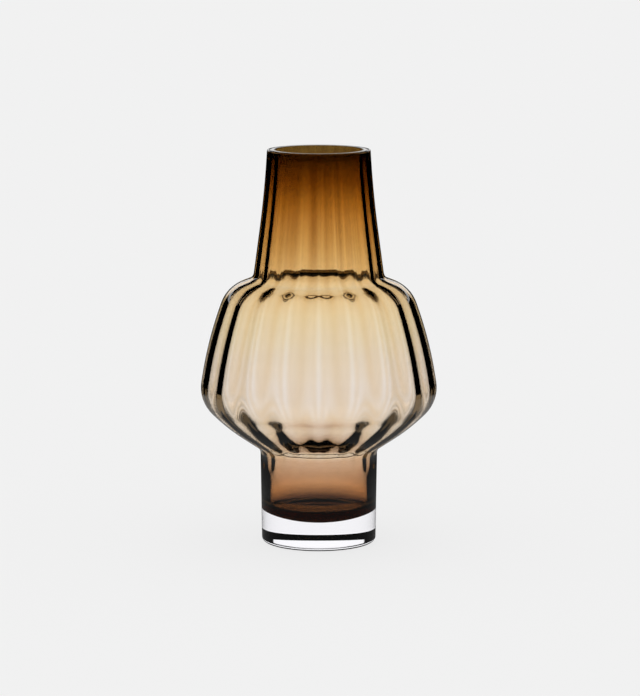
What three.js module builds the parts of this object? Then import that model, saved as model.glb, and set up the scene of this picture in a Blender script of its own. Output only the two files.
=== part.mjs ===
// A cased glass vase, mouth-blown in two layers: an amber liner with optic ribs on its inside, and a clear
// casing round it that ends in a thick clear sole. The layers are fused along their whole common face.
// Millimetres, +Z up. The origin is the centre of the face that the vase stands on, and -Y is the front.
import * as THREE from "three";

// Heights above the table, at the corners of the outline before they are rounded.
const footTopHeight = 54.9;
const underbellyHeight = 68.3;
const bellyHeight = 84.1;
const sideHeight = 119;
const shoulderHeight = 149.4;
const neckBaseHeight = 155.4;
const neckHeight = 205;
const vaseHeight = 230;

// Outside radii at the same corners.
const soleRadius = 33.3;
const footTopRadius = 34.1;
const underbellyRadius = 54;
const bellyRadius = 70.1;
const sideRadius = 64.5;
const shoulderRadius = 53.6;
const neckBaseRadius = 38.1;
const neckRadius = 31.4;
const rimRadius = 29.9;

// How far each corner is rounded on the outside.
const soleRounding = 2.7;
const footTopRounding = 5;
const underbellyRounding = 110;
const bellyRounding = 20;
const sideRounding = 229;
const shoulderRounding = 20;
const neckBaseRounding = 5;
const neckRounding = 600;
const rimRounding = 1;

// The corners that the inside and the fused face round in their own way. The rim's inner edge is the sharper one.
const footTopInnerRounding = 12;
const underbellyInnerRounding = 78;
const rimInnerRounding = 0.6;

// Thickness of the whole wall, casing and liner together.
const footWall = 5;
const footTopWall = 6.5;
const underbellyWall = 4.5;
const bellyWall = 4;
const neckWall = 3.8;
const rimWall = 4.4;

// Thickness of the amber liner alone. It is thinnest where the glass was blown widest.
const footTint = 3.4;
const footTopTint = 1.6;
const bellyTint = 0.8;
const neckBaseTint = 1.5;
const neckTint = 3;
const rimTint = 3.4;

// The clear sole under the liner, and the liner's own floor. Both are shallow bowls.
const soleThickness = 13.4;
const soleBowlRise = 8;
const soleHeelRounding = 6;
const floorThickness = 6.5;
const floorBowlRise = 2;
const floorHeelRounding = 10;

// Optic ribs on the inside of the liner. The depth is from hollow to crest at the belly, and shrinks with the radius.
// They begin in the foot and end under the rim. A hollow is at the front.
const ribCount = 20;
const ribDepth = 1;
const ribTurn = Math.PI / ribCount;
const ribsBeginHeight = 40;
const ribsFullHeight = 52;
const ribsWaneHeight = 222;
const ribsEndHeight = 229;

// How finely round shapes are cut into flat ones.
const facetsPerRib = 4;
const arcStep = THREE.MathUtils.degToRad(25);
const bowlSteps = 3;

// The wall's corners from the foot up, each as it lies on the outside.
const wallCorners = [
  { r: soleRadius, z: 0, rounding: soleRounding, wall: footWall, tint: footTint },
  {
    r: footTopRadius, z: footTopHeight, rounding: footTopRounding, innerRounding: footTopInnerRounding,
    wall: footTopWall, tint: footTopTint,
  },
  {
    r: underbellyRadius, z: underbellyHeight, rounding: underbellyRounding, innerRounding: underbellyInnerRounding,
    wall: underbellyWall, tint: bellyTint,
  },
  { r: bellyRadius, z: bellyHeight, rounding: bellyRounding, wall: bellyWall, tint: bellyTint },
  { r: sideRadius, z: sideHeight, rounding: sideRounding, wall: bellyWall, tint: bellyTint },
  { r: shoulderRadius, z: shoulderHeight, rounding: shoulderRounding, wall: bellyWall, tint: bellyTint },
  { r: neckBaseRadius, z: neckBaseHeight, rounding: neckBaseRounding, wall: neckWall, tint: neckBaseTint },
  { r: neckRadius, z: neckHeight, rounding: neckRounding, wall: neckWall, tint: neckTint },
  { r: rimRadius, z: vaseHeight, rounding: rimRounding, wall: rimWall, tint: rimTint },
];

// The direction from one corner of an outline to the next.
function heading(from, to) {
  return new THREE.Vector2(to.r - from.r, to.z - from.z).normalize();
}

// A wall corner moved into the glass by depth(corner), square to the two stretches that meet there.
// Where it has no inner rounding of its own, a hollow corner's grows as it moves in, and a bulging corner's shrinks.
function insetCorner(index, depth) {
  const corner = wallCorners[index];
  const arriving = heading(wallCorners[index - 1], corner);
  const leaving = heading(corner, wallCorners[index + 1]);
  const middle = arriving.clone().add(leaving).normalize();
  const reach = depth(corner) / Math.sqrt((1 + arriving.dot(leaving)) / 2);
  const parallel = corner.rounding - Math.sign(arriving.cross(leaving)) * depth(corner);
  const rounding = corner.innerRounding ?? Math.max(parallel, 0);
  return { r: corner.r - middle.y * reach, z: corner.z + middle.x * reach, rounding };
}

// The corners between the foot and the rim, moved into the glass.
function insetWall(depth) {
  return wallCorners.slice(1, -1).map((corner, place) => insetCorner(place + 1, depth));
}

// The rounded corners of an outline as { turn, reach }: reach is how far from the corner its arc starts.
// Where two arcs meet on a stretch that is too short for both, both give way.
function cornerArcs(corners) {
  const arcs = corners.map((corner, k) => {
    if (k === 0 || k === corners.length - 1) return { turn: 0, reach: 0 };
    const arriving = heading(corners[k - 1], corner);
    const leaving = heading(corner, corners[k + 1]);
    const turn = Math.atan2(arriving.cross(leaving), arriving.dot(leaving));
    return { turn, reach: corner.rounding * Math.tan(Math.abs(turn) / 2) };
  });
  const room = arcs.map(() => 1);
  for (let k = 1; k < corners.length; k++) {
    const length = Math.hypot(corners[k].r - corners[k - 1].r, corners[k].z - corners[k - 1].z);
    const share = length / Math.max(length, arcs[k - 1].reach + arcs[k].reach);
    room[k - 1] = Math.min(room[k - 1], share);
    room[k] = Math.min(room[k], share);
  }
  return arcs.map(({ turn, reach }, k) => ({ turn, reach: reach * room[k] }));
}

// The points of an outline with its corners rounded. The first and last corners stay sharp.
function roundedOutline(corners) {
  const points = [];
  cornerArcs(corners).forEach(({ turn, reach }, k) => {
    const corner = new THREE.Vector2(corners[k].r, corners[k].z);
    if (reach === 0) {
      points.push(corner);
      return;
    }
    const arriving = heading(corners[k - 1], corners[k]);
    const inwards = new THREE.Vector2(-arriving.y, arriving.x).multiplyScalar(Math.sign(turn));
    const start = corner.clone().addScaledVector(arriving, -reach);
    const centre = start.clone().addScaledVector(inwards, reach / Math.tan(Math.abs(turn) / 2));
    const steps = Math.ceil(Math.abs(turn) / arcStep);
    for (let step = 0; step <= steps; step++) {
      points.push(start.clone().rotateAround(centre, (turn * step) / steps));
    }
  });
  return points;
}

// A shallow bowl from the axis to its heel, as the first corners of an outline.
function bowl(lowest, rise, radius, heelRounding) {
  const corners = [];
  for (let step = 0; step <= bowlSteps; step++) {
    const share = step / bowlSteps;
    corners.push({ r: radius * share, z: lowest + rise * share * share, rounding: 0 });
  }
  corners[bowlSteps].rounding = heelRounding;
  return corners;
}

// The edge that both layers share at the top of the rim.
const rimSeam = { r: rimRadius - rimWall + rimTint, z: vaseHeight };

// The outside of the casing, from the centre of the sole up and over the clear part of the rim.
const outside = roundedOutline([{ r: 0, z: 0 }, ...wallCorners, rimSeam]);

// The face where casing and liner are fused, from the axis up to the rim.
const fusedFace = roundedOutline([
  ...bowl(soleThickness, soleBowlRise, soleRadius - footWall + footTint, soleHeelRounding),
  ...insetWall((corner) => corner.wall - corner.tint),
  rimSeam,
]);

// The inside of the vase, from the axis up and over the amber part of the rim.
const inside = roundedOutline([
  ...bowl(soleThickness + floorThickness, floorBowlRise, soleRadius - footWall, floorHeelRounding),
  ...insetWall((corner) => corner.wall),
  { r: rimRadius - rimWall, z: vaseHeight, rounding: rimInnerRounding },
  rimSeam,
]);

// The direction out of the glass at each point of the inside.
const insideNormals = inside.map((point, k) => {
  const along = inside[Math.min(k + 1, inside.length - 1)].clone().sub(inside[Math.max(k - 1, 0)]).normalize();
  return new THREE.Vector2(-along.y, along.x);
});

// How deep the ribs are at a point of the inside: nothing at the floor and at the rim.
function ribDepthAt(point) {
  const begun = THREE.MathUtils.smoothstep(point.y, ribsBeginHeight, ribsFullHeight);
  const ended = THREE.MathUtils.smoothstep(point.y, ribsWaneHeight, ribsEndHeight);
  return (ribDepth * begun * (1 - ended) * point.x) / bellyRadius;
}

// The inside with its ribs at an angle round the axis: a crest stands into the hollow of the vase.
function ribbedInside(angle) {
  const crest = (1 + Math.cos(ribCount * (angle - ribTurn))) / 2;
  return inside.map((point, k) => point.clone().addScaledVector(insideNormals[k], crest * ribDepthAt(point)));
}

// A solid turned about the axis. outlineAt(angle) gives its closed outline, which starts and ends on the axis.
function turned(outlineAt) {
  const facets = ribCount * facetsPerRib;
  const solid = new THREE.LatheGeometry(outlineAt(ribTurn), facets, ribTurn);
  const position = solid.getAttribute("position");
  for (let facet = 0; facet <= facets; facet++) {
    const angle = ribTurn + ((facet % facets) / facets) * 2 * Math.PI;
    outlineAt(angle).forEach((point, k) => {
      const place = facet * (position.count / (facets + 1)) + k;
      position.setXYZ(place, point.x * Math.sin(angle), point.y, point.x * Math.cos(angle));
    });
  }
  return solid.rotateX(Math.PI / 2);
}

function glass(color, opacity) {
  return new THREE.MeshStandardMaterial({ color, roughness: 0.02, metalness: 0, transparent: true, opacity });
}

function clearCasing() {
  const outline = [...outside, ...fusedFace.slice(0, -1).reverse()];
  const casing = new THREE.Mesh(turned(() => outline), glass(0xf4f4fa, 0.35));
  casing.name = "clear_casing";
  return casing;
}

function amberLiner() {
  const outline = (angle) => [...fusedFace, ...ribbedInside(angle).slice(0, -1).reverse()];
  const liner = new THREE.Mesh(turned(outline), glass(0x9a6230, 0.6));
  liner.name = "amber_liner";
  return liner;
}

const vase = new THREE.Group();
vase.add(clearCasing(), amberLiner());

export default vase;
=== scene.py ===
import math
from collections import namedtuple

import bpy
from bpy.props import FloatProperty, FloatVectorProperty, IntProperty, PointerProperty
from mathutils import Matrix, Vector


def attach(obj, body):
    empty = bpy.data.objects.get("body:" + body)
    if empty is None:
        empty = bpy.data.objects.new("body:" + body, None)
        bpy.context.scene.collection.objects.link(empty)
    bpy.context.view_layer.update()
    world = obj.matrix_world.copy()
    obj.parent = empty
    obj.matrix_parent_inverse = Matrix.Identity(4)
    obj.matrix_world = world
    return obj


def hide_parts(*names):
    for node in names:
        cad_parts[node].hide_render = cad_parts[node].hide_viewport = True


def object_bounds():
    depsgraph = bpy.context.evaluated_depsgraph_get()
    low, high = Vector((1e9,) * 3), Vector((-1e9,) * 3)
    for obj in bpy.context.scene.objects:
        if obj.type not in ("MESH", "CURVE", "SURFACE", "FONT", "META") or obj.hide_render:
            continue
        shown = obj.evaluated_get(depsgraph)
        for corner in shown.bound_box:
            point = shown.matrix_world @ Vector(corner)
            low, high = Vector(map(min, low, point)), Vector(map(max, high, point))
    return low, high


# A cased glass vase, mouth-blown in two layers: an amber liner with optic ribs on its inside, and a clear
# casing round it that ends in a thick clear sole. Metres, +Z up, -Y is the front.

bl_info = {
    "name": "Cased glass vase",
    "version": (1, 0, 0),
    "blender": (4, 5, 0),
    "location": "View3D > Sidebar > Vase",
    "description": "An amber liner with optic ribs, fused inside a clear casing",
    "category": "Object",
}

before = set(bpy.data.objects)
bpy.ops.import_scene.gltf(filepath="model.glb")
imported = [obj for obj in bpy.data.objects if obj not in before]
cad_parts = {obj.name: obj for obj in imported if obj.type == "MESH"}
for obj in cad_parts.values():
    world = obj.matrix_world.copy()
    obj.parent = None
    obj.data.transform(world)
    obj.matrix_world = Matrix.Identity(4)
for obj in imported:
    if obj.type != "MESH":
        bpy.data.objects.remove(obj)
CAD_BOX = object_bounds()
VASE_TOP = CAD_BOX[1][2]

MM = 0.001
WHITE = (1, 1, 1, 1)

# How finely the glass is cut. The fused face bends no light, so its steps are longer.
SEGMENTS_PER_RIB = 22
CASING_SEGMENTS = 240
ARC_STEP = math.radians(7)
SEEN_STEP = 2.5 * MM
FUSED_STEP = 12 * MM
BOWL_STEPS = 12

# How near two points are one, and the share of a step that a stretch may be over before it is cut once more
WELD = 0.001 * MM
STEP_SLACK = 0.001

# The gap between the casing's fused face and the liner's, so that the two never coincide
SEAM_GAP = 0.02 * MM

# The clear sole under the liner, and the liner's own floor, both shallow bowls
SOLE_BOWL_RISE = 8 * MM
SOLE_HEEL_ROUNDING = 6 * MM
FLOOR_BOWL_RISE = 2 * MM
FLOOR_HEEL_ROUNDING = 10 * MM
RIM_INNER_ROUNDING = 0.6 * MM

# Where the ribs begin above the foot and end under the rim
RIBS_BEGIN = 40 * MM
RIBS_FULL = 52 * MM
RIBS_WANE = 222 * MM
RIBS_END = 229 * MM

# A face within AXIS_REACH of the axis is part of a floor. One within RIM_REACH of the top whose normal rises
# by more than RIM_SLOPE is part of the rim.
AXIS_REACH = 0.5 * MM
RIM_REACH = 2 * MM
RIM_SLOPE = 0.02


def length(name, description, millimetres):
    """A length that the sidebar shows."""
    return FloatProperty(
        name=name, description=description, default=millimetres * MM, min=0,
        unit="LENGTH", subtype="DISTANCE", precision=4,
    )


def tint(name, description, default):
    """A colour that the sidebar shows."""
    return FloatVectorProperty(
        name=name, description=description, default=default, size=3, min=0, max=1, subtype="COLOR",
    )


class VaseForm(bpy.types.PropertyGroup):
    """The vase's outline, walls and ribs."""

    vase_height: length("Height", "From the table to the rim", 230)
    rim_radius: length("Rim radius", "Outside radius of the rim", 29.9)
    neck_radius: length("Neck radius", "Outside radius where the neck straightens", 31.4)
    neck_base_radius: length("Neck base radius", "Outside radius where the neck meets the shoulder", 38.1)
    shoulder_radius: length("Shoulder radius", "Outside radius of the shoulder", 53.6)
    side_radius: length("Side radius", "Outside radius half way up the body", 64.5)
    belly_radius: length("Belly radius", "Outside radius of the belly, before its rounding", 70.1)
    underbelly_radius: length("Underbelly radius", "Outside radius half way under the belly", 54)
    foot_top_radius: length("Foot top radius", "Outside radius at the top of the foot", 34.1)
    sole_radius: length("Sole radius", "Outside radius at the table", 33.3)
    sole_thickness: length("Sole", "Clear glass under the liner", 13.4)
    floor_thickness: length("Floor", "Amber glass under the hollow", 6.5)
    rib_count: IntProperty(name="Ribs", description="Optic ribs round the inside", default=20, min=3)
    rib_depth: length("Rib depth", "From hollow to crest at the belly", 1)
    rib_turn: FloatProperty(
        name="Rib turn", description="Angle from the front to the first crest", default=math.radians(9),
        subtype="ANGLE",
    )


class VaseGlass(bpy.types.PropertyGroup):
    """The colours of the two layers."""

    clear_tint: tint("Casing", "Colour of the clear casing", (0.96, 0.95, 1.0))
    rim_tint: tint("Rim amber", "Colour of the liner at the rim", (0.024, 0.011, 0.001))
    neck_tint: tint("Neck amber", "Colour of the liner in the middle of the neck", (0.7, 0.43, 0.135))
    shoulder_tint: tint("Shoulder amber", "Colour of the liner at the shoulder", (0.98, 0.8, 0.5))
    belly_tint: tint("Belly amber", "Colour of the liner at the belly", (0.96, 0.95, 0.98))
    foot_tint: tint("Foot amber", "Colour of the liner in the foot", (0.68, 0.4, 0.23))
    # Painted shade: a dark grey that darkens the liner's floor under the hollow
    floor_painted_shade: tint("Floor painted shade", "Colour of the liner's floor", (0.17, 0.15, 0.19))


Corner = namedtuple("Corner", "radius height rounding wall liner inner_rounding", defaults=(None,))


def wall_corners(form):
    """The wall's corners from the foot up, each as it lies on the outside.

    wall is the thickness of both layers and liner that of the amber one. inner_rounding is for a corner that
    the inside and the fused face round in their own way.
    """
    return [
        Corner(radius=form.sole_radius, height=0, rounding=2.7 * MM, wall=5 * MM, liner=3.4 * MM),
        Corner(
            radius=form.foot_top_radius, height=54.9 * MM, rounding=5 * MM, wall=6.5 * MM, liner=1.6 * MM,
            inner_rounding=12 * MM,
        ),
        Corner(
            radius=form.underbelly_radius, height=68.3 * MM, rounding=110 * MM, wall=4.5 * MM, liner=0.8 * MM,
            inner_rounding=78 * MM,
        ),
        Corner(radius=form.belly_radius, height=84.1 * MM, rounding=20 * MM, wall=4 * MM, liner=0.8 * MM),
        Corner(radius=form.side_radius, height=119 * MM, rounding=229 * MM, wall=4 * MM, liner=0.8 * MM),
        Corner(radius=form.shoulder_radius, height=149.4 * MM, rounding=20 * MM, wall=4 * MM, liner=0.8 * MM),
        Corner(
            radius=form.neck_base_radius, height=155.4 * MM, rounding=5 * MM, wall=3.8 * MM, liner=1.5 * MM,
        ),
        Corner(radius=form.neck_radius, height=205 * MM, rounding=600 * MM, wall=3.8 * MM, liner=3 * MM),
        Corner(
            radius=form.rim_radius, height=form.vase_height, rounding=1 * MM, wall=4.4 * MM, liner=3.4 * MM,
        ),
    ]


def place(corner):
    """A corner's place in its outline: how far from the axis, and how high."""
    return Vector((corner.radius, corner.height))


def heading(start, end):
    return (place(end) - place(start)).normalized()


def turn_at(before, corner, after):
    """The angle that an outline turns through at a corner, to the left as it goes."""
    arriving, leaving = heading(before, corner), heading(corner, after)
    return math.atan2(arriving.cross(leaving), arriving.dot(leaving))


def inset(corners, depth):
    """The corners between the foot and the rim, moved into the glass by depth(corner)."""
    moved = []
    for before, corner, after in zip(corners, corners[1:], corners[2:]):
        arriving, leaving = heading(before, corner), heading(corner, after)
        middle = (arriving + leaving).normalized()
        reach = depth(corner) / math.sqrt((1 + arriving.dot(leaving)) / 2)
        radius = corner.radius - middle.y * reach
        height = corner.height + middle.x * reach
        rounding = corner.inner_rounding
        if rounding is None:
            rounding = max(corner.rounding - math.copysign(depth(corner), turn_at(before, corner, after)), 0)
        moved.append(corner._replace(radius=radius, height=height, rounding=rounding))
    return moved


def point(radius, height, rounding=0):
    """A corner of an outline that isn't one of the wall's."""
    return Corner(radius, height, rounding, wall=0, liner=0)


def bowl(lowest, rise, radius, heel_rounding):
    """A shallow bowl from the axis to its heel."""
    shares = [step / BOWL_STEPS for step in range(BOWL_STEPS)]
    hollow = [point(radius * share, lowest + rise * share**2) for share in shares]
    return [*hollow, point(radius, lowest + rise, heel_rounding)]


def arc_reaches(corners):
    """The turn at each corner, and how far from the corner its arc starts.

    Where two arcs need more than the stretch between them, both give way.
    """
    turns = [0] + [turn_at(*three) for three in zip(corners, corners[1:], corners[2:])] + [0]
    reaches = [corner.rounding * math.tan(abs(turn) / 2) for corner, turn in zip(corners, turns)]
    room = [1] * len(corners)
    for k in range(1, len(corners)):
        stretch = (place(corners[k]) - place(corners[k - 1])).length
        share = stretch / max(stretch, reaches[k - 1] + reaches[k])
        room[k - 1] = min(room[k - 1], share)
        room[k] = min(room[k], share)
    return turns, [reach * share for reach, share in zip(reaches, room)]


def rounded_path(corners, longest_step):
    """Points along an outline with its corners rounded, no further apart than longest_step."""
    path = []
    for k, (turn, reach) in enumerate(zip(*arc_reaches(corners))):
        corner = place(corners[k])
        if reach == 0:
            path.append(corner)
            continue
        arriving = heading(corners[k - 1], corners[k])
        radius = reach / math.tan(abs(turn) / 2)
        inwards = Vector((-arriving.y, arriving.x)) * math.copysign(radius, turn)
        start = corner - arriving * reach
        steps = math.ceil(max(abs(turn) / ARC_STEP, abs(turn) * radius / longest_step))
        for step in range(steps + 1):
            path.append(start + inwards + rotated(-inwards, turn * step / steps))
    return divided(path, longest_step)


def rotated(vector, angle):
    cosine, sine = math.cos(angle), math.sin(angle)
    return Vector((vector.x * cosine - vector.y * sine, vector.x * sine + vector.y * cosine))


def divided(path, longest_step):
    """The path with its long stretches cut into equal steps."""
    points = [path[0]]
    for start, end in zip(path, path[1:]):
        steps = max(1, math.ceil((end - start).length / longest_step - STEP_SLACK))
        points += [start.lerp(end, step / steps) for step in range(1, steps + 1)]
    return points


def rim_seam(corners, gap=0):
    """The edge that both layers share on top of the rim."""
    rim = corners[-1]
    return point(rim.radius - rim.wall + rim.liner + gap, rim.height)


def outside_path(form):
    """The outside of the casing, from the centre of the sole up and over the clear part of the rim."""
    corners = wall_corners(form)
    return rounded_path([point(0, 0), *corners, rim_seam(corners, SEAM_GAP)], 2 * SEEN_STEP)


def fused_path(form, gap=0):
    """The face where the layers are fused, or a face that lies outside it by a gap."""
    corners = wall_corners(form)
    radius = form.sole_radius - corners[0].wall + corners[0].liner + gap
    return rounded_path(
        [
            *bowl(form.sole_thickness - gap, SOLE_BOWL_RISE, radius, SOLE_HEEL_ROUNDING),
            *inset(corners, lambda corner: corner.wall - corner.liner - gap),
            rim_seam(corners, gap),
        ],
        FUSED_STEP,
    )


def inside_path(form):
    """The inside of the vase, from the axis up and over the amber part of the rim."""
    corners = wall_corners(form)
    rim = corners[-1]
    lowest = form.sole_thickness + form.floor_thickness
    return rounded_path(
        [
            *bowl(lowest, FLOOR_BOWL_RISE, form.sole_radius - corners[0].wall, FLOOR_HEEL_ROUNDING),
            *inset(corners, lambda corner: corner.wall),
            point(rim.radius - rim.wall, rim.height, RIM_INNER_ROUNDING),
            rim_seam(corners),
        ],
        SEEN_STEP,
    )


def deselect():
    for other in bpy.context.selected_objects:
        other.select_set(False)


def turned_solid(name, path, segments):
    """A closed solid, spun round the axis from a path that starts and ends on it."""
    deselect()
    start = path[0]
    bpy.ops.mesh.primitive_plane_add(size=MM, location=(start.x, 0, start.y))
    solid = bpy.context.object
    solid.name = solid.data.name = name
    bpy.ops.object.mode_set(mode="EDIT")
    bpy.ops.mesh.merge(type="CENTER")
    for here, there in zip(path, path[1:]):
        step = there - here
        bpy.ops.mesh.extrude_region_move(TRANSFORM_OT_translate={"value": (step.x, 0, step.y)})
    bpy.ops.mesh.select_all(action="SELECT")
    bpy.ops.mesh.spin(steps=segments, angle=2 * math.pi, center=(0, 0, 0), axis=(0, 0, 1))
    bpy.ops.mesh.select_all(action="SELECT")
    bpy.ops.mesh.remove_doubles(threshold=WELD)
    bpy.ops.mesh.normals_make_consistent(inside=False)
    bpy.ops.object.mode_set(mode="OBJECT")
    bpy.ops.object.transform_apply(location=True, rotation=True, scale=True)
    # The widest face looks away from the axis, unless the whole solid is inside out.
    widest = max(solid.data.polygons, key=lambda face: face.center.xy.length)
    if widest.normal.xy.dot(widest.center.xy) < 0:
        bpy.ops.object.mode_set(mode="EDIT")
        bpy.ops.mesh.select_all(action="SELECT")
        bpy.ops.mesh.flip_normals()
        bpy.ops.object.mode_set(mode="OBJECT")
    bpy.ops.object.shade_smooth()
    return solid


def faces_axis(centre, normal):
    """True where a face looks towards the axis, or up from a floor."""
    if centre.xy.length < AXIS_REACH:
        return normal.z > 0
    return normal.xy.dot(centre.xy) < 0


def mark_fused(solid, towards_axis):
    """Marks the faces where the layers are fused, which bend no light. The rim's top isn't one of them."""
    fused = solid.data.attributes.new("fused", "FLOAT", "FACE")
    rim = max(vertex.co.z for vertex in solid.data.vertices) - RIM_REACH
    for face, mark in zip(solid.data.polygons, fused.data):
        on_rim = face.center.z > rim and face.normal.z > RIM_SLOPE
        mark.value = float(faces_axis(face.center, face.normal) == towards_axis and not on_rim)


def smoothstep(start, end, value):
    share = min(max((value - start) / (end - start), 0), 1)
    return share * share * (3 - 2 * share)


def raise_ribs(solid, form):
    """Raises the ribs on the inside. They shrink with its radius, and end in the foot and under the rim."""
    crests = solid.vertex_groups.new(name="rib_crests")
    for vertex in solid.data.vertices:
        if not faces_axis(vertex.co, vertex.normal):
            continue
        radius, height = vertex.co.xy.length, vertex.co.z
        angle = math.atan2(vertex.co.x, -vertex.co.y) - form.rib_turn
        strength = smoothstep(RIBS_BEGIN, RIBS_FULL, height) * (1 - smoothstep(RIBS_WANE, RIBS_END, height))
        weight = strength * radius / form.belly_radius * (1 + math.cos(form.rib_count * angle)) / 2
        if weight > 0:
            crests.add([vertex.index], weight, "REPLACE")
    ribs = solid.modifiers.new("Optic ribs", "DISPLACE")
    ribs.direction = "NORMAL"
    ribs.mid_level = 0
    ribs.strength = form.rib_depth
    ribs.vertex_group = crests.name
    bpy.ops.object.modifier_apply(modifier=ribs.name)


# How strongly the glass bends light, and how the amber takes it away with depth, per metre
GLASS_IOR = 1.5
AMBER_ABSORPTION = (0.8, 0.517, 0, 1)
AMBER_DENSITY = 200

# The clouds in the casing, and their clearest colour
CLOUD_SCALE = 30.0
CLOUD_DETAIL = 1.0
CLEAREST_TINT = (0.99, 0.985, 1.0)

# The upright streaks in the amber: their colour, their noise, the part of it that shows, and their heights
STREAK_TINT = (0.55, 0.42, 0.3)
STREAK_SCALE = 6.0
STREAK_DETAIL = 2.0
STREAK_FAINT = 0.4
STREAK_DEEP = 0.65
STREAKS_BEGIN = 140 * MM
STREAKS_FULL = 180 * MM


def link(tree, source, target):
    tree.links.new(source, target)


def node(tree, kind, **values):
    """A new node with the values of some of its sockets."""
    made = tree.nodes.new(kind)
    for name, value in values.items():
        made.inputs[name.replace("_", " ")].default_value = value
    return made


def empty_material(name):
    """A material with no nodes in its tree yet."""
    material = bpy.data.materials.new(name)
    material.use_nodes = True
    material.node_tree.nodes.clear()
    return material


class Formula:
    """Short arithmetic in a node tree."""

    def __init__(self, tree):
        self.tree = tree

    def do(self, operation, first, second=None, clamp=False):
        """One step of arithmetic on outputs or fixed numbers."""
        made = self.tree.nodes.new("ShaderNodeMath")
        made.operation = operation
        made.use_clamp = clamp
        for socket, value in zip(made.inputs, (first, second)):
            if isinstance(value, (int, float)):
                socket.default_value = value
            elif value is not None:
                link(self.tree, value, socket)
        return made.outputs[0]

    def mix(self, share, first, second):
        """first where share is 0, second where it is 1."""
        step = self.do("SUBTRACT", second, first)
        return self.do("ADD", first, self.do("MULTIPLY", share, step))

    def below(self, value, limit, edge):
        """1 where value is under limit, 0 where it is over, with a soft edge."""
        return self.do("DIVIDE", self.do("SUBTRACT", limit + edge, value), 2 * edge, clamp=True)

    def between(self, value, limits, edge):
        """1 where value is between two limits, with soft edges."""
        low, high = limits
        return self.do("SUBTRACT", self.below(value, high, edge), self.below(value, low, edge))

    def squared(self, value, middle, half):
        """How far value is from middle, in halves, squared."""
        off = self.do("DIVIDE", self.do("SUBTRACT", value, middle), half)
        return self.do("MULTIPLY", off, off)


def mixed_shader(tree, share, first, second):
    """The first shader where share is 0, the second where it is 1."""
    mixed = node(tree, "ShaderNodeMixShader")
    for source, socket in zip((share, first, second), mixed.inputs):
        link(tree, source, socket)
    return mixed.outputs[0]


def mixed_colour(tree, blend, share, first, second):
    """A colour mixed from two, each of which is an output or a fixed colour."""
    made = tree.nodes.new("ShaderNodeMix")
    made.data_type = "RGBA"
    made.blend_type = blend
    link(tree, share, made.inputs[0])
    for socket, value in zip((made.inputs[6], made.inputs[7]), (first, second)):
        if isinstance(value, bpy.types.NodeSocket):
            link(tree, value, socket)
        else:
            socket.default_value = (*value, 1)
    return made.outputs[2]


def cased_glass(name):
    """Clear solid glass whose fused faces let light straight through.

    Returns the material, its glass shader and its see-through shader.
    """
    material = empty_material(name)
    tree = material.node_tree
    glass = node(tree, "ShaderNodeBsdfPrincipled", Roughness=0.0, IOR=GLASS_IOR, Transmission_Weight=1)
    through = node(tree, "ShaderNodeBsdfTransparent")
    fused = node(tree, "ShaderNodeAttribute")
    fused.attribute_name = "fused"
    layer = mixed_shader(tree, fused.outputs["Fac"], glass.outputs[0], through.outputs[0])
    link(tree, layer, node(tree, "ShaderNodeOutputMaterial").inputs["Surface"])
    return material, glass, through


def clear_glass(colours):
    """Clear glass with the faint lilac of its batch, in soft clouds."""
    material, glass, _ = cased_glass("clear_glass")
    tree = material.node_tree
    clouds = node(tree, "ShaderNodeTexNoise", Scale=CLOUD_SCALE, Detail=CLOUD_DETAIL)
    link(tree, node(tree, "ShaderNodeTexCoord").outputs["Object"], clouds.inputs["Vector"])
    colour = mixed_colour(tree, "MIX", clouds.outputs[0], colours.clear_tint, CLEAREST_TINT)
    link(tree, colour, glass.inputs["Base Color"])
    return material


def ramp_by_height(tree, height, stops):
    """A colour for each height, from stops of millimetres and colour."""
    ramp = node(tree, "ShaderNodeValToRGB")
    link(tree, height, ramp.inputs["Fac"])
    elements = ramp.color_ramp.elements
    for millimetres, colour in stops:
        elements.new(millimetres * MM / VASE_TOP).color = (*colour, 1)
    elements.remove(elements[0])
    elements.remove(elements[-1])
    return ramp.outputs["Color"]


def streaks(tree, position, height):
    """Where the amber was drawn out into soft upright streaks: most in the neck, none below the shoulder."""
    flat = tree.nodes.new("ShaderNodeVectorMath")
    flat.operation = "MULTIPLY"
    flat.inputs[1].default_value = (1, 1, 0)
    link(tree, position, flat.inputs[0])
    around = tree.nodes.new("ShaderNodeVectorMath")
    around.operation = "NORMALIZE"
    link(tree, flat.outputs[0], around.inputs[0])
    noise = node(tree, "ShaderNodeTexNoise", Scale=STREAK_SCALE, Detail=STREAK_DETAIL)
    link(tree, around.outputs[0], noise.inputs["Vector"])
    drawn = node(tree, "ShaderNodeMapRange", From_Min=STREAK_FAINT, From_Max=STREAK_DEEP)
    link(tree, noise.outputs[0], drawn.inputs["Value"])
    neck = node(
        tree, "ShaderNodeMapRange", From_Min=STREAKS_BEGIN / VASE_TOP, From_Max=STREAKS_FULL / VASE_TOP,
    )
    link(tree, height, neck.inputs["Value"])
    return Formula(tree).do("MULTIPLY", drawn.outputs[0], neck.outputs[0])


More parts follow.
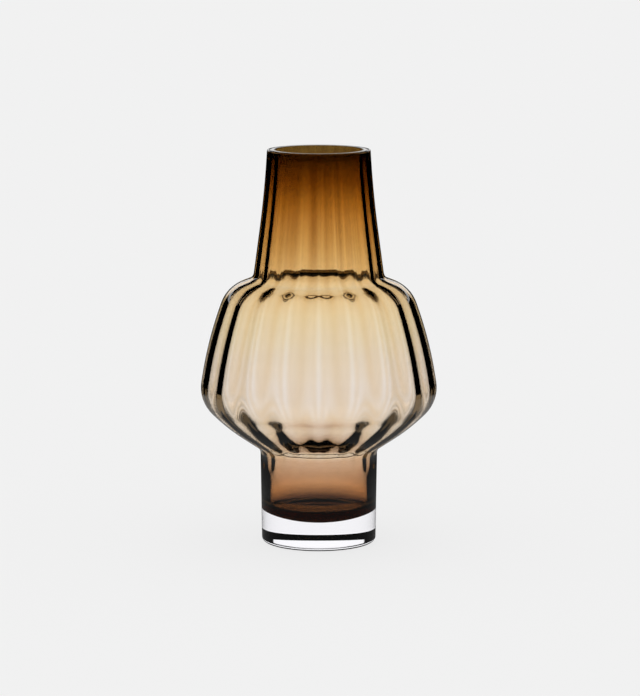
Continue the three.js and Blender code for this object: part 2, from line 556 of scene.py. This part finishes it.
def amber_glass(colours):
    """Amber glass, deep at the rim and in the foot, and pale where it was blown widest, with painted shade on
    the floor of the hollow.
    """
    material, glass, through = cased_glass("amber_glass")
    tree = material.node_tree
    coordinates = node(tree, "ShaderNodeTexCoord")
    split = node(tree, "ShaderNodeSeparateXYZ")
    height = node(tree, "ShaderNodeMapRange", From_Max=VASE_TOP)
    link(tree, coordinates.outputs["Object"], split.inputs[0])
    link(tree, split.outputs["Z"], height.inputs["Value"])
    amber = ramp_by_height(
        tree,
        height.outputs[0],
        [
            # The lowest stop is a dark grey, painted shade on the floor of the hollow
            (14, (0.31, 0.24, 0.22)),
            (28, colours.foot_tint),
            (36, (0.56, 0.38, 0.3)),
            (47, (0.73, 0.59, 0.56)),
            (60, (1.0, 0.98, 1.0)),
            (85, colours.belly_tint),
            (100, (0.92, 0.9, 0.92)),
            (125, (0.95, 0.9, 0.72)),
            (150, colours.shoulder_tint),
            (164, (0.9, 0.68, 0.35)),
            (176, (0.8, 0.56, 0.23)),
            (188, colours.neck_tint),
            (199, (0.49, 0.25, 0.04)),
            (211, (0.22, 0.087, 0.008)),
            (226, colours.rim_tint),
        ],
    )
    drawn = streaks(tree, coordinates.outputs["Object"], height.outputs[0])
    link(tree, mixed_colour(tree, "MULTIPLY", drawn, amber, STREAK_TINT), glass.inputs["Base Color"])
    # The fused face is painted dark under the hollow, a painted shade on the liner's floor, and lets all
    # light through above it.
    floor_shade = ramp_by_height(tree, height.outputs[0], [(21, colours.floor_painted_shade), (30, (1, 1, 1))])
    link(tree, floor_shade, through.inputs["Color"])
    body = node(tree, "ShaderNodeVolumeAbsorption", Color=AMBER_ABSORPTION, Density=AMBER_DENSITY)
    link(tree, body.outputs[0], tree.nodes["Material Output"].inputs["Volume"])
    return material


def set_piece(piece, material, node_name):
    """Gives a piece its glass and puts it in place of its plain solid."""
    piece.data.materials.clear()
    piece.data.materials.append(material)
    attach(piece, "root")
    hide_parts(node_name)


class VASE_OT_clear_casing(bpy.types.Operator):
    """Blow the clear casing with its thick sole"""

    bl_idname = "vase.clear_casing"
    bl_label = "Clear casing"

    def execute(self, context):
        form = context.scene.vase_form
        path = outside_path(form) + fused_path(form, SEAM_GAP)[-2::-1]
        casing = turned_solid("blown_casing", path, CASING_SEGMENTS)
        mark_fused(casing, True)
        set_piece(casing, clear_glass(context.scene.vase_glass), "clear_casing")
        return {"FINISHED"}


class VASE_OT_amber_liner(bpy.types.Operator):
    """Blow the amber liner with its optic ribs"""

    bl_idname = "vase.amber_liner"
    bl_label = "Amber liner"

    def execute(self, context):
        form = context.scene.vase_form
        path = fused_path(form) + inside_path(form)[-2::-1]
        liner = turned_solid("blown_liner", path, form.rib_count * SEGMENTS_PER_RIB)
        mark_fused(liner, False)
        raise_ribs(liner, form)
        set_piece(liner, amber_glass(context.scene.vase_glass), "amber_liner")
        return {"FINISHED"}


# The even tone of the floor and the background, and how much of the floor's light is even
PALE = 0.88
FLOOR_TONE = 0.8
EVEN_SHARE = 0.85

# The floor, and the round patch of it that only the glass sees. Both lie just under the sole.
FLOOR_SIZE = 60
FLOOR_DROP = 0.3 * MM
NEAR_FLOOR_RADIUS = 0.15
NEAR_FLOOR_CORNERS = 96
NEAR_FLOOR_DROP = 0.5 * MM

# What the glass sees round it. Straight through it, all is lit up to OPEN_TOP above the horizon. Its inner
# reflections show a bright band and a bright oval behind the vase, and a dim ground. An edge is how far each
# field fades, and that of the oval is a share of its size.
GLASS_LIGHT = 1.08
OPEN_TOP = math.radians(11)
OPEN_EDGE = math.radians(1)
BAND = (math.radians(3.5), math.radians(9))
BAND_EDGE = math.radians(0.5)
BAND_HALF_WIDTH = math.radians(20)
BAND_SIDE_EDGE = math.radians(2)
LENS_MIDDLE = math.radians(12.5)
LENS_HALF_HEIGHT = math.radians(3)
LENS_HALF_WIDTH = math.radians(42)
LENS_EDGE = 0.05
GROUND_TOP = math.radians(-12)
GROUND_EDGE = math.radians(1)
GROUND_LIGHT = 0.24
NEAR_GROUND_LIGHT = 0.12

# The camera, in metres, degrees and millimetres of its lens. The vase's axis lies beside the picture's middle
# by a pixel or so.
CAMERA_DISTANCE = 1.83606
CAMERA_HEIGHT = 0.40033
CAMERA_DIP = 8.862
CAMERA_REACH = 100
SENSOR_WIDTH = 36
LENS_LENGTH = 165.12
PICTURE_HEIGHT_PIXELS = 696
AXIS_OFFSET_PIXELS = 1.2


def lit_by_depth():
    """The floor near the vase as the glass sees it: bright straight through, dim in its inner reflections."""
    material = empty_material("lit_floor")
    tree = material.node_tree
    mirrorings = node(tree, "ShaderNodeLightPath").outputs["Glossy Depth"]
    glow = node(tree, "ShaderNodeEmission")
    straight = Formula(tree).do("LESS_THAN", mirrorings, 1)
    link(tree, Formula(tree).do("MAXIMUM", straight, NEAR_GROUND_LIGHT), glow.inputs["Strength"])
    link(tree, glow.outputs[0], node(tree, "ShaderNodeOutputMaterial").inputs["Surface"])
    return material


def floor_material():
    """A pale floor that the camera sees evenly lit, with part of the vase's shadow."""
    material = empty_material("pale_floor")
    tree = material.node_tree
    # The even part is as bright as makes it and the matt part come to the background's tone.
    even_tone = PALE * (1 - (1 - EVEN_SHARE) * FLOOR_TONE) / EVEN_SHARE
    matt = node(tree, "ShaderNodeBsdfDiffuse", Color=(FLOOR_TONE, FLOOR_TONE, FLOOR_TONE, 1))
    even = node(tree, "ShaderNodeEmission", Color=WHITE, Strength=even_tone)
    path = node(tree, "ShaderNodeLightPath")
    share = Formula(tree).do("MULTIPLY", path.outputs["Is Camera Ray"], EVEN_SHARE)
    mixed = mixed_shader(tree, share, matt.outputs[0], even.outputs[0])
    link(tree, mixed, node(tree, "ShaderNodeOutputMaterial").inputs["Surface"])
    return material


def seen_in_reflections(formula, azimuth, elevation):
    """The bright fields that the glass's inner reflections show, as round a back-lit glass on a table."""
    behind = formula.below(azimuth, BAND_HALF_WIDTH, BAND_SIDE_EDGE)
    band = formula.between(elevation, BAND, BAND_EDGE)
    upright = formula.squared(elevation, LENS_MIDDLE, LENS_HALF_HEIGHT)
    lens = formula.do("ADD", upright, formula.squared(azimuth, 0, LENS_HALF_WIDTH))
    ground = formula.do("MULTIPLY", formula.below(elevation, GROUND_TOP, GROUND_EDGE), GROUND_LIGHT)
    lit = formula.do("MAXIMUM", formula.do("MULTIPLY", behind, band), formula.below(lens, 1, LENS_EDGE))
    return formula.do("MAXIMUM", lit, ground)


def studio_world():
    """An even pale studio. Through the glass it is bright, and in its inner reflections mostly dark."""
    world = bpy.data.worlds.new("studio")
    bpy.context.scene.world = world
    world.use_nodes = True
    tree = world.node_tree
    tree.nodes.clear()
    formula = Formula(tree)
    coordinates = node(tree, "ShaderNodeTexCoord")
    split = node(tree, "ShaderNodeSeparateXYZ")
    link(tree, coordinates.outputs["Generated"], split.inputs[0])
    azimuth = formula.do("ABSOLUTE", formula.do("ARCTAN2", split.outputs["X"], split.outputs["Y"]))
    elevation = formula.do("ARCSINE", split.outputs["Z"])
    path = node(tree, "ShaderNodeLightPath")
    mirrored = formula.do("MINIMUM", path.outputs["Glossy Depth"], 1)
    lit = formula.below(elevation, OPEN_TOP, OPEN_EDGE)
    strength = formula.mix(mirrored, lit, seen_in_reflections(formula, azimuth, elevation))
    bent, mirror = path.outputs["Is Transmission Ray"], path.outputs["Is Glossy Ray"]
    by_glass = formula.do("ADD", bent, mirror, clamp=True)
    around_glass = node(tree, "ShaderNodeBackground", Color=WHITE)
    link(tree, formula.do("MULTIPLY", strength, GLASS_LIGHT), around_glass.inputs["Strength"])
    even = node(tree, "ShaderNodeBackground", Color=(PALE, PALE, PALE, 1))
    mixed = mixed_shader(tree, by_glass, even.outputs[0], around_glass.outputs[0])
    link(tree, mixed, node(tree, "ShaderNodeOutputWorld").inputs["Surface"])


class VASE_OT_stage(bpy.types.Operator):
    """Set the floor, the light and the camera"""

    bl_idname = "vase.stage"
    bl_label = "Stage"

    def execute(self, context):
        studio_world()
        deselect()
        bpy.ops.mesh.primitive_plane_add(size=FLOOR_SIZE, location=(0, 0, -FLOOR_DROP))
        floor = context.object
        floor.name = "floor"
        floor.data.materials.append(floor_material())
        floor.visible_transmission = False
        floor.visible_glossy = False
        bpy.ops.mesh.primitive_circle_add(
            vertices=NEAR_FLOOR_CORNERS, radius=NEAR_FLOOR_RADIUS, fill_type="NGON",
            location=(0, 0, -NEAR_FLOOR_DROP),
        )
        near_floor = context.object
        near_floor.name = "near_floor"
        near_floor.data.materials.append(lit_by_depth())
        near_floor.visible_camera = False
        near_floor.visible_diffuse = False
        near_floor.visible_shadow = False
        bpy.ops.object.camera_add(
            location=(0, -CAMERA_DISTANCE, CAMERA_HEIGHT), rotation=(math.radians(90 - CAMERA_DIP), 0, 0),
        )
        camera = context.object
        camera.data.sensor_width = SENSOR_WIDTH
        camera.data.lens = LENS_LENGTH
        camera.data.shift_x = AXIS_OFFSET_PIXELS / PICTURE_HEIGHT_PIXELS
        camera.data.clip_end = CAMERA_REACH
        context.scene.camera = camera
        context.scene.view_settings.view_transform = "Standard"
        return {"FINISHED"}


class VASE_PT_parts(bpy.types.Panel):
    """The vase's parts and sizes"""

    bl_label = "Cased glass vase"
    bl_space_type = "VIEW_3D"
    bl_region_type = "UI"
    bl_category = "Vase"

    def draw(self, context):
        for operator in OPERATORS:
            self.layout.operator(operator.bl_idname)
        for group in (context.scene.vase_form, context.scene.vase_glass):
            for name in group.__annotations__:
                self.layout.prop(group, name)


OPERATORS = (VASE_OT_stage, VASE_OT_clear_casing, VASE_OT_amber_liner)
CLASSES = (VaseForm, VaseGlass, *OPERATORS, VASE_PT_parts)


def register():
    for group in CLASSES:
        bpy.utils.register_class(group)
    bpy.types.Scene.vase_form = PointerProperty(type=VaseForm)
    bpy.types.Scene.vase_glass = PointerProperty(type=VaseGlass)


def unregister():
    del bpy.types.Scene.vase_glass
    del bpy.types.Scene.vase_form
    for group in reversed(CLASSES):
        bpy.utils.unregister_class(group)


def main():
    register()
    bpy.ops.vase.stage()
    bpy.ops.vase.clear_casing()
    bpy.ops.vase.amber_liner()


if __name__ == "__main__":
    main()
